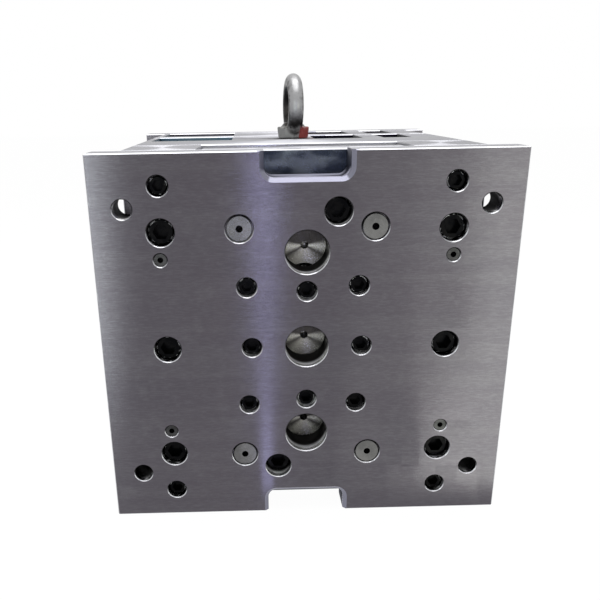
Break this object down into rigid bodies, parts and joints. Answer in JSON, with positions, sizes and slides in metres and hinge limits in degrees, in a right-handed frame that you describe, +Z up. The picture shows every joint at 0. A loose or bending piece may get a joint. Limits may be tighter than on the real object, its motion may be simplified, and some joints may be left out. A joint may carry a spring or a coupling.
{
  "type": "mould base",
  "caption": "Two-plate injection mould base standing on edge, with clamping plates, spacer blocks, a guided ejector set, support pillars and a lifting eye bolt.",
  "frame": {"origin": "middle of the footprint, on the surface the mould base stands on", "axes": "+X across the plates to the right, +Y along the opening stroke from the ejector side to the fixed side, +Z up"},
  "size_m": [0.5, 0.548, 0.555],
  "materials": {
    "ground_plate": "surface-ground tool steel, lay along X, silky grey",
    "milled_steel": "milled and ground steel, brighter than the clamping plates",
    "black_oxide": "black-oxide alloy steel screws, slightly oily",
    "hardened_pin": "hardened and ground guide steel, fine satin",
    "bronze": "bearing bronze, turned",
    "spring_steel": "die spring, blue enamel",
    "forged_steel": "forged and polished eye bolt with a paint mark on its collar"
  },
  "bodies": {
    "ejector_half": {"bottom_clamp_plate": "ground_plate", "left_spacer_block": "milled_steel", "right_spacer_block": "milled_steel", "core_plate": "milled_steel", "clamp_screws": "black_oxide", "spacer_screws": "black_oxide", "support_pillars": "milled_steel", "pillar_screws": "black_oxide", "end_support_pillars": "milled_steel", "end_pillar_screws": "black_oxide", "locating_dowels": "hardened_pin", "leader_pins": "hardened_pin", "ejector_guide_pins": "hardened_pin", "stop_discs": "milled_steel", "eye_bolt": "forged_steel", "return_springs": "spring_steel"},
    "ejector_set": {"ejector_base_plate": "milled_steel", "ejector_retainer_plate": "milled_steel", "ejector_plate_screws": "black_oxide", "ejector_guide_bushes": "bronze", "return_pins": "hardened_pin"},
    "cavity_half": {"cavity_plate": "milled_steel", "top_clamp_plate": "ground_plate", "guide_bushes": "hardened_pin", "top_clamp_screws": "black_oxide", "locating_ring": "hardened_pin", "locating_ring_screws": "black_oxide", "sprue_bush": "hardened_pin"}
  },
  "joints": [
    {"name": "mould_opening", "type": "slide", "parent": "ejector_half", "child": "cavity_half", "axis": [0, 1, 0], "range_m": [0, 0.25]},
    {"name": "ejector_stroke", "type": "slide", "parent": "ejector_half", "child": "ejector_set", "axis": [0, 1, 0], "range_m": [0, 0.034], "deforming": ["return_springs"]}
  ],
  "couplings": [
    {"joint": "ejector_stroke", "follows": "mould_opening", "ratio": 0.136}
  ]
}
